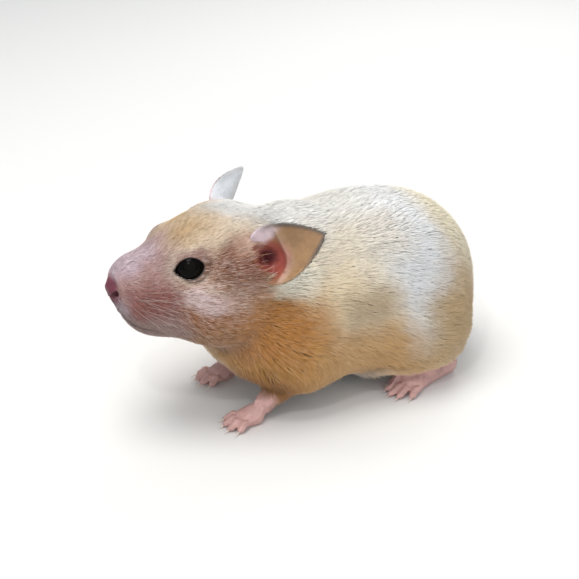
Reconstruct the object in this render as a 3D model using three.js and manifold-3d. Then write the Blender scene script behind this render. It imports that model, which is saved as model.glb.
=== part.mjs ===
// A young Syrian hamster that crouches on all fours with its head up, life size, in millimetres.
// The nose points to -X, the tail to +X, the animal's left side is -Y, and the soles stand on z = 0.
import * as THREE from "three";
import { mergeVertices } from "three/addons/utils/BufferGeometryUtils.js";
import Module from "manifold-3d";

const wasm = await Module();
wasm.setup();

// Driving sizes. Lengths run along the crouching animal, heights from the floor.
const seam = 0.3; // gap of every thin cut between two sub-parts
const headHeight = 33; // height of the joint between skull and neck
const headPlace = -15; // its place along the body
const headTurn = 0.07; // radians that the face turns to the animal's right
const eyeRadius = 3.3;
const earLength = 17; // with the root that is buried in the head
const earWidth = 12.3;
const earThickness = 1.1;
const toeRadius = 0.9;
const clawRadius = 0.3;
const forearmRadius = 3.2;
const farAway = 200; // size of the blocks that cut the body

const sides = { left: -1, right: 1 }; // sign of Y on each side of the body

// ---------- flesh: soft sums of egg-shaped masses ----------

const headFrame = new THREE.Matrix4()
  .makeRotationZ(-headTurn)
  .setPosition(headPlace, 0, headHeight);
const bodyFrame = new THREE.Matrix4();

// One egg-shaped mass. pitch lifts its front end, yaw turns it about the vertical, both in radians.
function mass(frame, [x, y, z], [length, width, height], { pitch = 0, yaw = 0, blend = 2 } = {}) {
  const turned = new THREE.Matrix4()
    .makeRotationFromEuler(new THREE.Euler(0, pitch, yaw, "ZYX"))
    .setPosition(x, y, z)
    .premultiply(frame);
  const radii = new THREE.Vector3(length, width, height);
  return { toLocal: turned.invert(), radii, blend };
}

// The same mass on both sides of the body.
function pair(frame, [x, y, z], radii, { yaw = 0, ...rest } = {}) {
  return [
    mass(frame, [x, -y, z], radii, { yaw: -yaw, ...rest }),
    mass(frame, [x, y, z], radii, { yaw, ...rest }),
  ];
}

const local = new THREE.Vector3();
const scaled = new THREE.Vector3();

// Distance from a point to the skin of one mass, below zero inside it.
function distanceTo(one, point) {
  local.copy(point).applyMatrix4(one.toLocal);
  const near = scaled.copy(local).divide(one.radii).length();
  const slope = scaled.divide(one.radii).length();
  return slope === 0 ? -Math.min(...one.radii.toArray()) : (near * (near - 1)) / slope;
}

// The flesh made by many masses: below zero inside, zero on its skin.
function fleshOf(masses, growth = 0) {
  return (point) => {
    const sum = masses.reduce((total, one) => total + Math.exp(-distanceTo(one, point) / one.blend), 0);
    return -Math.log(sum) - growth;
  };
}

const headMasses = [
  mass(headFrame, [-5.5, 0, 2], [13, 13.2, 11]), // braincase
  mass(headFrame, [-13.5, 0, 2], [9.8, 7, 7.8], { pitch: -0.3, blend: 1.4 }), // forehead
  mass(headFrame, [-21.5, 0, 1.4], [8.5, 5.7, 5.7], { pitch: -0.2, blend: 1.2 }), // bridge of the nose
  mass(headFrame, [-25.4, 0, 0.8], [3.5, 4.3, 4.4], { blend: 1 }), // front of the muzzle
  mass(headFrame, [-27.9, 0, 1], [1.9, 2.2, 2.1], { blend: 0.6 }), // nose
  mass(headFrame, [-18, 0, -6.6], [8.5, 6.2, 4.8], { blend: 1.2 }), // lower jaw
  ...pair(headFrame, [-23.4, 3, -2.9], [4.7, 3.5, 4.6], { yaw: 0.25, blend: 1 }), // whisker pads
  ...pair(headFrame, [-9.5, 8.4, -4], [10, 7.6, 9], { yaw: 0.25 }), // cheeks
  ...pair(headFrame, [-19, 4.2, -2.6], [6.5, 4.2, 5.2], { blend: 1.2 }), // flanks of the muzzle
  ...pair(headFrame, [-13.4, 4.4, 5.1], [4.8, 2.8, 2.9], { pitch: -0.35, blend: 1.2 }), // brows
  ...pair(headFrame, [-0.5, 8.5, 5], [6, 5, 6]), // roots of the ears
];

const trunkMasses = [
  mass(bodyFrame, [-5, 0, 30], [14, 15.5, 14]), // neck
  mass(bodyFrame, [-15, 0, 18.5], [9.8, 11.5, 10]), // throat
  mass(bodyFrame, [-1, 0, 20.5], [19, 18.5, 18]), // ribcage
  mass(bodyFrame, [15, 0, 17], [22, 21.5, 15]), // belly
  mass(bodyFrame, [15, 0, 27], [22, 18.5, 15.8]), // back
  mass(bodyFrame, [27, 0, 21.5], [16, 18.5, 17.5]), // rump
  ...pair(bodyFrame, [-7, 11.5, 14.5], [10, 7.5, 10.5], { blend: 1.6 }), // shoulders
  ...pair(bodyFrame, [23, 14.5, 13.5], [14, 8, 11.5], { blend: 1.6 }), // haunches
];

const bodyMasses = [...headMasses, ...trunkMasses];

// ---------- surfaces: capsules laid along a line and drawn out to the skin ----------

const step = 0.7; // stride of the search for the skin
const halvings = 12;

// How far the skin lies from a point inside the flesh, in one direction.
function reachOf(flesh) {
  const probe = new THREE.Vector3();
  const at = (from, way, distance) => flesh(probe.copy(from).addScaledVector(way, distance));
  return (from, way) => {
    let outside = step;
    while (at(from, way, outside) < 0) outside += step;
    let inside = outside - step;
    for (let i = 0; i < halvings; i++) {
      const middle = (inside + outside) / 2;
      if (at(from, way, middle) < 0) inside = middle;
      else outside = middle;
    }
    return inside;
  };
}

// A closed surface round a line: each vertex of a capsule goes to its place along the line,
// then out along its own normal as far as reach says.
function drawnAround(line, reach, { caps, around, along }) {
  const geometry = new THREE.CapsuleGeometry(1, 2, caps, around, along);
  const { position, normal } = geometry.attributes;
  const up = new THREE.Vector3(0, 0, 1);
  const [way, sideways, upward] = [new THREE.Vector3(), new THREE.Vector3(), new THREE.Vector3()];
  for (let i = 0; i < position.count; i++) {
    const share = (THREE.MathUtils.clamp(position.getY(i), -1, 1) + 1) / 2;
    const centre = line.getPoint(share);
    const tangent = line.getTangent(share);
    sideways.crossVectors(tangent, up).normalize();
    upward.crossVectors(sideways, tangent);
    way
      .set(0, 0, 0)
      .addScaledVector(sideways, normal.getX(i))
      .addScaledVector(tangent, normal.getY(i))
      .addScaledVector(upward, normal.getZ(i))
      .normalize();
    centre.addScaledVector(way, reach(centre, way, share));
    position.setXYZ(i, centre.x, centre.y, centre.z);
  }
  return geometry;
}

// A tube with round ends through some points, as thick at each share of its length as radii say.
function tube(points, radii, grid) {
  const line = new THREE.CatmullRomCurve3(points.map((point) => new THREE.Vector3(...point)));
  const radiusAt = (share) => {
    const place = share * (radii.length - 1);
    const before = Math.min(Math.floor(place), radii.length - 2);
    return THREE.MathUtils.lerp(radii[before], radii[before + 1], place - before);
  };
  return solidFrom(drawnAround(line, (from, way, share) => radiusAt(share), grid));
}

// ---------- solids: joining and cutting ----------

const mergeDistance = 1e-3;

function solidFrom(geometry) {
  const bare = geometry.clone();
  bare.deleteAttribute("normal");
  bare.deleteAttribute("uv");
  const merged = mergeVertices(bare, mergeDistance);
  return new wasm.Manifold(
    new wasm.Mesh({
      numProp: 3,
      vertProperties: merged.attributes.position.array,
      triVerts: new Uint32Array(merged.index.array),
    }),
  );
}

function geometryFrom(solid) {
  const { vertProperties, triVerts } = solid.getMesh();
  return new THREE.BufferGeometry()
    .setAttribute("position", new THREE.BufferAttribute(vertProperties, 3))
    .setIndex(new THREE.BufferAttribute(triVerts, 1));
}

// A block that fills everything beyond a plane through a point.
function beyond(point, direction) {
  const block = new THREE.BoxGeometry(farAway, farAway, farAway).translate(0, 0, farAway / 2);
  const turn = new THREE.Quaternion().setFromUnitVectors(
    new THREE.Vector3(0, 0, 1),
    new THREE.Vector3(...direction).normalize(),
  );
  return solidFrom(block.applyQuaternion(turn).translate(...point));
}

// Parts a solid with a thin flat cut: the piece ahead of the plane and the piece behind it.
function parted(solid, point, direction) {
  const way = new THREE.Vector3(...direction).normalize();
  const ahead = new THREE.Vector3(...point).addScaledVector(way, seam / 2);
  const behind = new THREE.Vector3(...point).addScaledVector(way, -seam / 2);
  return [
    solid.intersect(beyond(ahead.toArray(), direction)),
    solid.subtract(beyond(behind.toArray(), direction)),
  ];
}

// An egg-shaped solid, for cuts that follow a muscle.
function egg(frame, [x, y, z], [length, width, height], growth = 0, around = 14) {
  return solidFrom(
    new THREE.SphereGeometry(1, around, around / 2)
      .rotateX(Math.PI / 2)
      .scale(length + growth, width + growth, height + growth)
      .translate(x, y, z)
      .applyMatrix4(frame),
  );
}

const belowFloor = beyond([0, 0, 0], [0, 0, -1]);

// ---------- body: one skin from nose to rump ----------

const inHead = (x, y, z) => new THREE.Vector3(x, y, z).applyMatrix4(headFrame);

const bodyLine = new THREE.CatmullRomCurve3([
  inHead(-28, 0, -1.6),
  inHead(-25, 0, -2.2),
  inHead(-20, 0, -2.8),
  inHead(-14, 0, -3),
  inHead(-7, 0, -3.4),
  new THREE.Vector3(-14, 0, 26),
  new THREE.Vector3(-2, 0, 23),
  new THREE.Vector3(15, 0, 22),
  new THREE.Vector3(34, 0, 21),
]);

function wholeBody(growth, grid) {
  return solidFrom(drawnAround(bodyLine, reachOf(fleshOf(bodyMasses, growth)), grid));
}

const bodyGrid = { caps: 5, around: 27, along: 30 };
const body = wholeBody(0, bodyGrid);
const bodyGrown = wholeBody(seam, bodyGrid);

// ---------- eyes ----------

function eye(side, growth = 0) {
  return egg(headFrame, [-14.8, side * 6.9, 4.9], [eyeRadius, eyeRadius, eyeRadius], growth, 16);
}

// ---------- ears: thin cups that narrow to the tip ----------

const earRoot = { x: { left: -1.4, right: -0.2 }, y: 10, z: 4.2 }; // under the skin; the right ear is laid back more
const earLean = { x: 0.63, y: 0.61, z: 0.49 }; // from the root to the tip
const earFacing = { x: -0.68, y: 0.66, z: 0.3 }; // the way that the hollow side looks
const cupAtRoot = 2.9; // radians that the cup bends round, at the root and at the tip
const cupAtTip = 1.2;

// Bends a unit ball into the cup: its poles become root and tip, its sides the two rims.
function ear(name) {
  const side = sides[name];
  const geometry = new THREE.SphereGeometry(1, 16, 10);
  const { position } = geometry.attributes;
  const along = new THREE.Vector3(earLean.x, side * earLean.y, earLean.z).normalize();
  const hollow = new THREE.Vector3(earFacing.x, side * earFacing.y, earFacing.z);
  const across = new THREE.Vector3().crossVectors(along, hollow).normalize();
  const facing = new THREE.Vector3().crossVectors(across, along);
  const root = new THREE.Vector3(earRoot.x[name], side * earRoot.y, earRoot.z);
  for (let i = 0; i < position.count; i++) {
    const share = (position.getY(i) + 1) / 2;
    const round = Math.sqrt(Math.max(1 - position.getY(i) ** 2, 1e-12));
    const rim = THREE.MathUtils.clamp(position.getX(i) / round, -1, 1);
    const face = position.getZ(i) / round;
    const half = (earWidth / 2) * round ** 1.3 * (1.3 - 0.68 * share); // widest near the root, blunt at the tip
    const bend = THREE.MathUtils.lerp(cupAtRoot, cupAtTip, share) / 2;
    const radius = half / Math.sin(bend);
    const angle = rim * bend;
    const shell = radius + (earThickness / 2) * round ** 0.3 * -Math.sign(face) * Math.abs(face) ** 0.6;
    const place = root
      .clone()
      .addScaledVector(along, earLength * share)
      .addScaledVector(across, shell * Math.sin(angle))
      .addScaledVector(facing, radius - shell * Math.cos(angle));
    position.setXYZ(i, place.x, place.y, place.z);
  }
  return solidFrom(geometry.applyMatrix4(headFrame)).subtract(bodyGrown);
}

// ---------- feet: a sole with toes that end in claws ----------

const toeGrid = { caps: 1, around: 5, along: 4 };
const toeRadii = [toeRadius, toeRadius, toeRadius * 1.1, toeRadius * 0.8, clawRadius, clawRadius / 3];

// A toe from its root on the foot, forward by its length and turned out by its splay.
function toe([x, y, z], length, splay) {
  const at = (share, height) => [
    x - length * share * Math.cos(splay),
    y + length * share * Math.sin(splay),
    height,
  ];
  const line = [at(0, z), at(0.3, z + 0.5), at(0.62, toeRadius), at(0.8, toeRadius), at(1, clawRadius)];
  return tube(line, toeRadii, toeGrid);
}

// A foot: masses for its sole, and toes that fan out from the middle of its front edge.
function foot(soleMasses, line, toes, side) {
  const sole = solidFrom(
    drawnAround(
      new THREE.CatmullRomCurve3(line.map(([x, y, z]) => new THREE.Vector3(x, side * y, z))),
      reachOf(fleshOf(soleMasses)),
      { caps: 3, around: 10, along: 3 },
    ),
  );
  return toes
    .map(({ from: [x, y, z], length, splay }) => toe([x, side * y, z], length, side * splay))
    .reduce((whole, one) => whole.add(one), sole)
    .subtract(belowFloor);
}

// Where each front paw stands: the middle of its palm, from the middle of the body.
const stance = { left: [-19.5, 10.8], right: [-15, 9.6] };
const elbow = [-6, 12.5, 9];
const wristHeight = 4.2;

function forepaw([x, y], side) {
  const masses = [
    mass(bodyFrame, [x, side * y, 1.6], [3.4, 2.9, 1.9], { blend: 0.6 }),
    mass(bodyFrame, [x + 2.9, side * (y + 0.4), wristHeight - 1.4], [2.6, 2.1, 2.2], { blend: 0.6 }),
  ];
  const line = [
    [x + 2.9, y + 0.4, wristHeight - 1.2],
    [x - 1.5, y - 0.1, 1.5],
  ];
  const toes = [-1.5, -0.5, 0.5, 1.5].map((place) => ({
    from: [x - 2.2 + 0.25 * place ** 2, y + place * 1.35, 1.3],
    length: 5 - 0.45 * place ** 2,
    splay: 0.24 * place + 0.06,
  }));
  return foot(masses, line, toes, side);
}

const heel = { x: 30, y: 14.5 };
const ball = { x: 19.5, y: 17 }; // where the hind toes spread

function hindfoot(side) {
  const masses = [
    mass(bodyFrame, [heel.x, side * heel.y, 2.1], [3.4, 2.5, 2.4], { blend: 0.7 }),
    mass(bodyFrame, [(heel.x + ball.x) / 2, side * ((heel.y + ball.y) / 2), 1.9], [6.5, 2.6, 2.2], { blend: 0.7, yaw: side * -0.23 }),
    mass(bodyFrame, [ball.x, side * ball.y, 1.6], [3.4, 3.3, 1.9], { blend: 0.7 }),
  ];
  const line = [
    [heel.x + 0.5, heel.y, 2],
    [(heel.x + ball.x) / 2, (heel.y + ball.y) / 2, 1.8],
    [ball.x - 0.5, ball.y, 1.6],
  ];
  const toes = [-2, -1, 0, 1, 2].map((place) => ({
    from: [ball.x - 2 + 0.45 * place ** 2, ball.y + place * 1.3, 1.2],
    length: 6.6 - 0.35 * place ** 2,
    splay: 0.17 * place + 0.16,
  }));
  return foot(masses, line, toes, side);
}

// ---------- legs: the bulge on the body and the limb that leaves it ----------

const upperArm = { centre: [-7, 18, 13.5], radii: [9, 11.5, 10] };
const haunch = { centre: [22.5, 22, 13], radii: [13.5, 13.5, 12] };

function muscle({ centre: [x, y, z], radii }, side, growth = 0) {
  return egg(bodyFrame, [x, side * y, z], radii, growth);
}

function wristOf([x, y]) {
  return [x + 2.9, y + 0.4, wristHeight];
}

function forearm(paw, side, growth = 0) {
  const wrist = wristOf(paw);
  const between = elbow.map((value, axis) => (value + wrist[axis]) / 2);
  return tube(
    [elbow, between, wrist].map(([x, y, z]) => [x, side * y, z]),
    [1.15, 1, 0.7].map((share) => forearmRadius * share + growth),
    { caps: 2, around: 10, along: 3 },
  ).subtract(belowFloor);
}

// The front leg down to the wrist, and the paw in front of it.
function foreleg(paw, side) {
  const [x, , z] = wristOf(paw);
  const limb = forearm(paw, side).add(forepaw(paw, side).subtract(bodyGrown));
  const upper = body.intersect(muscle(upperArm, side));
  return parted(upper.add(limb), [x - 0.6, 0, z - 0.6], [1, 0, 0.55]);
}

// ---------- tail ----------

function tail() {
  return tube(
    [
      [38, 0, 14],
      [42.5, 0, 12],
      [45.6, 0, 9.5],
      [47, 0, 6.4],
    ],
    [2.6, 2.2, 1.5, 0.9],
    { caps: 2, around: 8, along: 5 },
  ).subtract(bodyGrown);
}

// ---------- thin cuts that part the body ----------

const noseTip = { centre: [-30, 0, 0.5], radii: [2.7, 2.8, 2.6] };
const jaw = { centre: [-18, 0, -11.6], radii: [8.5, 6.2, 5] };
const throatCut = { point: [-27, 0, 20], direction: [-0.76, 0, 0.65] }; // parts head and neck
const shoulderCut = { point: [-20, 0, 9], direction: [-0.79, 0, 0.61] }; // parts neck and trunk

function fleshPieces() {
  let rest = body;
  for (const [name, side] of Object.entries(sides)) {
    rest = rest
      .subtract(eye(side, seam))
      .subtract(muscle(upperArm, side, seam))
      .subtract(forearm(stance[name], side, seam))
      .subtract(muscle(haunch, side, seam));
  }
  const [headAndJaw, neckAndTrunk] = parted(rest, throatCut.point, throatCut.direction);
  const [neck, trunk] = parted(neckAndTrunk, shoulderCut.point, shoulderCut.direction);
  const nose = headAndJaw.intersect(egg(headFrame, noseTip.centre, noseTip.radii));
  const lowerJaw = headAndJaw.intersect(egg(headFrame, jaw.centre, jaw.radii));
  const head = headAndJaw
    .subtract(egg(headFrame, noseTip.centre, noseTip.radii, seam))
    .subtract(egg(headFrame, jaw.centre, jaw.radii, seam));
  return { head, nose, lower_jaw: lowerJaw, neck, trunk };
}

// ---------- the animal ----------

const materials = {
  coat: new THREE.MeshStandardMaterial({ color: 0xe3b98a, roughness: 0.85 }),
  pale_coat: new THREE.MeshStandardMaterial({ color: 0xf0e6da, roughness: 0.85 }),
  bare_skin: new THREE.MeshStandardMaterial({ color: 0xd99a92, roughness: 0.6 }),
  ear_skin: new THREE.MeshStandardMaterial({ color: 0xc79a85, roughness: 0.6 }),
  eye: new THREE.MeshStandardMaterial({ color: 0x0a0808, roughness: 0.05 }),
};

const hamster = new THREE.Group();

function add(name, solid, material) {
  const mesh = new THREE.Mesh(geometryFrom(solid), material);
  mesh.name = name;
  hamster.add(mesh);
}

const pieces = fleshPieces();
add("head", pieces.head, materials.coat);
add("lower_jaw", pieces.lower_jaw, materials.pale_coat);
add("nose", pieces.nose, materials.bare_skin);
add("neck", pieces.neck, materials.coat);
add("trunk", pieces.trunk, materials.coat);
add("tail", tail(), materials.bare_skin);

for (const [name, side] of Object.entries(sides)) {
  const [legPart, pawPart] = foreleg(stance[name], side);
  add(`eye_${name}`, eye(side), materials.eye);
  add(`ear_${name}`, ear(name), materials.ear_skin);
  add(`foreleg_${name}`, legPart, materials.coat);
  add(`forepaw_${name}`, pawPart, materials.bare_skin);
  add(`hindleg_${name}`, body.intersect(muscle(haunch, side)), materials.coat);
  add(`hindfoot_${name}`, hindfoot(side).subtract(bodyGrown), materials.bare_skin);
}

// The origin is on the floor, under the middle of the animal's box.
const box = new THREE.Box3().setFromObject(hamster);
const middle = box.getCenter(new THREE.Vector3());
hamster.position.set(-middle.x, -middle.y, 0);

export default hamster;
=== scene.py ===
import math

import bpy
import numpy as np
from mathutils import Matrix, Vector
from mathutils.bvhtree import BVHTree
from mathutils.kdtree import KDTree


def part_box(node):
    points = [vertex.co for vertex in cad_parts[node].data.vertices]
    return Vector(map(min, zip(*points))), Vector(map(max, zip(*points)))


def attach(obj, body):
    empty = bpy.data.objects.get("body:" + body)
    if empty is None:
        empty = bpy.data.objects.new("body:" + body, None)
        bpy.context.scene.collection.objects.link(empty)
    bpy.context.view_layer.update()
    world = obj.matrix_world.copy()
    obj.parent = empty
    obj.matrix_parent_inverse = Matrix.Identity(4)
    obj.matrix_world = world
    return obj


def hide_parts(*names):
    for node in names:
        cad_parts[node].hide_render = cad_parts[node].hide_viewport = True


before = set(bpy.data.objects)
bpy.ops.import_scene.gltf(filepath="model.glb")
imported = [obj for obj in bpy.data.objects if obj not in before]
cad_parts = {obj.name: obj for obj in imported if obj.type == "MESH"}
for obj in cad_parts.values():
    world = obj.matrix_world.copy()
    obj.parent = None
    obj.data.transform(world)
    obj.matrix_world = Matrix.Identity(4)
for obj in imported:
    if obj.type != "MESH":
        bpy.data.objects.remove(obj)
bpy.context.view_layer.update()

mm = 0.001  # the script measures in millimetres and the scene in metres
chance = np.random.default_rng(11)

# ---- the head's own axes, from the two eyes: x to the nape, y to the right, z up ----


def middleOf(node):
    low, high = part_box(node)
    return np.array((low + high) / 2) / mm


eyeMiddles = {-1: middleOf("eye_left"), 1: middleOf("eye_right")}
headMiddle = (eyeMiddles[-1] + eyeMiddles[1]) / 2
headAcross = eyeMiddles[1] - eyeMiddles[-1]
headAcross /= np.linalg.norm(headAcross)
headAxes = np.array([np.cross(headAcross, (0, 0, 1)), headAcross, (0, 0, 1)])
headTurn = math.atan2(headAxes[0][1], headAxes[0][0])


def toHead(points):
    return (np.asarray(points) - headMiddle) @ headAxes.T


def fromHead(points):
    return np.asarray(points) @ headAxes + headMiddle


def sided(point, side):
    return np.array([point[0], point[1] * side, point[2]])


# ---- small helpers ----


def blendStep(value, low, high):
    share = np.clip((np.asarray(value, float) - low) / (high - low), 0, 1)
    return share * share * (3 - 2 * share)


def mixed(first, second, share):
    return first + (second - first) * share


def unit(vectors):
    return vectors / np.maximum(np.linalg.norm(vectors, axis=-1, keepdims=True), 1e-9)


def makeActive(piece):
    if bpy.context.mode != "OBJECT":
        bpy.ops.object.mode_set(mode="OBJECT")
    bpy.ops.object.select_all(action="DESELECT")
    piece.select_set(True)
    bpy.context.view_layer.objects.active = piece


def applied(piece, kind, **settings):
    makeActive(piece)
    modifier = piece.modifiers.new(kind.lower(), kind)
    for name, value in settings.items():
        setattr(modifier, name, value)
    bpy.ops.object.modifier_apply(modifier=modifier.name)
    return piece


def smoothed(piece, rounds):
    for _ in range(rounds):  # a step in and a slightly longer step out keep the volume
        applied(piece, "SMOOTH", factor=0.5, iterations=2)
        applied(piece, "SMOOTH", factor=-0.52, iterations=2)
    return piece


def inEditMode(piece, step, **settings):
    makeActive(piece)
    bpy.ops.object.mode_set(mode="EDIT")
    bpy.ops.mesh.select_all(action="SELECT")
    step(**settings)
    bpy.ops.object.mode_set(mode="OBJECT")
    return piece


def facingOut(piece):
    return inEditMode(piece, bpy.ops.mesh.normals_make_consistent, inside=False)


def valuesOf(items, name, width, kind=float):
    values = np.empty(len(items) * width, kind)
    items.foreach_get(name, values)
    return values.reshape(-1, width)


def pointsOf(piece):
    return valuesOf(piece.data.vertices, "co", 3) / mm


def placePoints(piece, points):
    piece.data.vertices.foreach_set("co", (points * mm).ravel())
    piece.data.update()


def normalsOf(piece):
    return valuesOf(piece.data.vertex_normals, "vector", 3)


def mergedCopy(node, growth):
    piece = bpy.data.objects.new(node + "_flesh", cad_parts[node].data.copy())
    bpy.context.collection.objects.link(piece)
    piece.data.materials.clear()
    inEditMode(piece, bpy.ops.mesh.remove_doubles, threshold=0.004 * mm)
    return applied(piece, "DISPLACE", strength=growth * mm, mid_level=0)


def joined(pieces, name):
    makeActive(pieces[0])
    for piece in pieces:
        piece.select_set(True)
    bpy.ops.object.join()
    pieces[0].name = pieces[0].data.name = name
    return pieces[0]


def distanceToLine(points, line):
    best = np.full(len(points), 1e9)
    for start, end in zip(np.asarray(line[:-1], float), np.asarray(line[1:], float)):
        way = end - start
        share = np.clip((points - start) @ way / max(way @ way, 1e-9), 0, 1)
        best = np.minimum(best, np.linalg.norm(points - start - share[:, None] * way, axis=1))
    return best


def inEgg(points, egg):
    return np.linalg.norm((points - egg[0]) / egg[1], axis=1)


def within(points, egg, inside, outside):
    return 1 - blendStep(inEgg(points, egg), inside, outside)


def farFrom(points, place, near, far):
    return blendStep(np.linalg.norm(points - place, axis=1), near, far)


def fadingGroup(piece, name, shares):
    group = piece.vertex_groups.new(name=name)
    for level in range(1, 5):
        group.add(np.nonzero(np.ceil(shares * 4) == level)[0].tolist(), level / 4, "REPLACE")


# ---- where the coat grows, and how deep it is ----

nosePad = (-14.6, 0, -4.3)  # in the head's axes
eyeRadius = (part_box("eye_left")[1][2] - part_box("eye_left")[0][2]) / 2 / mm
eyeShape = {
    "bulge": 0.1,
    "bulgeAngle": 62,
    "front": 2.78,
    "top": 2.25,
    "frontCorner": (0.5, 0.12, 0.32),  # how far it goes past the oval, its angle and its width
    "backCorner": (0.15, math.pi, 0.3),
    "seatReach": 3.05,
    "gaze": (-0.36, 0.89, 0.27),
}
earShape = {
    "root": {-1: (13.4, -10.0, -0.7), 1: (14.6, 10.0, -0.7)},
    "lean": (0.63, 0.61, 0.49),
    "hollow": (-0.68, 0.66, 0.3),
    "length": 17.0,
    "width": 12.3,
    "thickness": 0.85,
    "cup": (2.9, 1.2),
    "ridge": [(8.3, -5.2), (7.9, -3.0), (7.8, -1.0), (8.0, 1.2), (7.8, 2.8), (6.7, 4.5), (5.1, 5.9)],
    "ridgeHeight": 0.75,
    "ridgeWidth": 0.7,
    "concha": ((4.7, 0.0, 4.6), (3.2, 4.0, 4.3)),
    "canal": ((3.3, 0.2, 1.8), (1.4, 1.7, 2.4)),
}


def eyeAxes(side):  # forwards along the opening, up, and out along the gaze
    out = unit(sided(eyeShape["gaze"], side) @ headAxes)
    forward = unit(-headAxes[0] + (headAxes[0] @ out) * out)
    return np.array([forward, np.cross(forward, out) * -side, out])


def toEye(points, side):
    return (points - eyeMiddles[side]) @ eyeAxes(side).T


def openingAt(angle):
    wide, high = eyeShape["front"], eyeShape["top"]
    oval = wide * high / np.hypot(high * np.cos(angle), wide * np.sin(angle))
    reach, place, width = eyeShape["frontCorner"]
    oval = oval + reach * np.exp(-(((angle + place) / width) ** 2))
    reach, place, width = eyeShape["backCorner"]
    return oval + reach * np.exp(-(((np.abs(angle) - place) / width) ** 2))


def acrossEye(local):  # the distance from the gaze, and the opening's own radius that way
    return np.hypot(local[:, 0], local[:, 1]), openingAt(np.arctan2(local[:, 1], local[:, 0]))


def seatAt(opening):
    reach = np.minimum(opening, eyeShape["seatReach"])
    return np.sqrt((eyeRadius + eyeShape["bulge"] * 0.5) ** 2 - reach**2)


def earAxes(side):  # along the ear, down to its lower edge, and out of its hollow
    along = unit(sided(earShape["lean"], side) @ headAxes)
    across = unit(np.cross(along, unit(sided(earShape["hollow"], side) @ headAxes)))
    return np.array([along, across * -side, np.cross(across, along)])


def toEar(points, side):
    return (points - fromHead(earShape["root"][side])) @ earAxes(side).T


def fromEar(points, side):
    return points @ earAxes(side) + fromHead(earShape["root"][side])


# Each foot, and how far from it the coat is short.
feet = {"forepaw_left": 14, "forepaw_right": 14, "hindfoot_left": 7, "hindfoot_right": 7}
coatDepths = {"trunk": 2.5, "belly": 1.8, "cheek": 1.45, "muzzle": 0.45}


def boxDistance(points, node):
    low, high = (np.array(corner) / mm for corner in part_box(node))
    return np.linalg.norm(points - np.clip(points, low, high), axis=1)


def coatDepth(points):
    inHead = toHead(points)
    depth = mixed(coatDepths["belly"], coatDepths["trunk"], blendStep(points[:, 2], 6, 16))
    head = mixed(coatDepths["muzzle"], coatDepths["cheek"], blendStep(inHead[:, 0], -13, 8))
    isBody = blendStep(inHead[:, 0] - 0.5 * inHead[:, 2], 12, 26)
    depth = mixed(head, depth, isBody)
    for side in (-1, 1):
        depth *= mixed(0.35, 1, farFrom(points, eyeMiddles[side], 3.5, 8))
        depth *= mixed(0.12, 1, farFrom(inHead, earShape["root"][side], 5.5, 11))
    depth *= farFrom(inHead, nosePad, 2.2, 7)
    for foot, reach in feet.items():
        depth = np.minimum(depth, mixed(0.25, 4, blendStep(boxDistance(points, foot), 0.5, reach)))
    depth *= mixed(0.15, 1, blendStep(boxDistance(points, "tail"), 0.3, 5))
    return np.minimum(depth, 0.1 + 0.6 * np.maximum(points[:, 2] - 1, 0))


# ---- skin: one closed surface under the whole coat ----

skinShape = {
    "body": ["head", "lower_jaw", "neck", "trunk", "eye_left", "eye_right",
             "foreleg_left", "foreleg_right", "hindleg_left", "hindleg_right"],
    "bare": ["nose", "tail", *feet],
    "ears": ["ear_left", "ear_right"],
    "seamGrowth": 0.22,
    "seamReach": 0.9,
    "seamDepth": 0.7,
    "bodyVoxel": 0.8,
    "fineVoxel": 0.27,
    "faces": 180000,
}


def treeOf(piece):
    return BVHTree.FromPolygons([tuple(vertex.co) for vertex in piece.data.vertices],
                                [tuple(face.vertices) for face in piece.data.polygons])


# Moves the cut end of a foot, the nose or the tail on into the body, whose skin lies under the coat.
def reachBody(piece, outline, body):
    points = pointsOf(piece)
    for i, point in enumerate(points):
        if outline.find_nearest(Vector(point * mm))[3] < skinShape["seamReach"] * mm:
            place, normal, _, _ = body.find_nearest(Vector(point * mm))
            points[i] = np.array(place) / mm - skinShape["seamDepth"] * np.array(normal)
    placePoints(piece, points)
    return piece


def meshPiece(name, points, faces):
    mesh = bpy.data.meshes.new(name)
    mesh.from_pydata([tuple(point) for point in np.asarray(points) * mm], [], faces)
    piece = bpy.data.objects.new(name, mesh)
    bpy.context.collection.objects.link(piece)
    return facingOut(piece)


def gridFaces(rows, columns, closed):
    faces = [(row * columns + column, row * columns + (column + 1) % columns,
              (row + 1) % rows * columns + (column + 1) % columns, (row + 1) % rows * columns + column)
             for row in range(rows if closed else rows - 1) for column in range(columns)]
    if not closed:
        faces.append(tuple(reversed(range(columns))))
        faces.append(tuple((rows - 1) * columns + column for column in range(columns)))
    return faces


def earHalf(share):
    roundness = np.sqrt(np.clip(1 - (2 * share - 1) ** 2, 0, 1))
    return earShape["width"] / 2 * roundness**1.3 * (1.3 - 0.68 * share)


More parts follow.
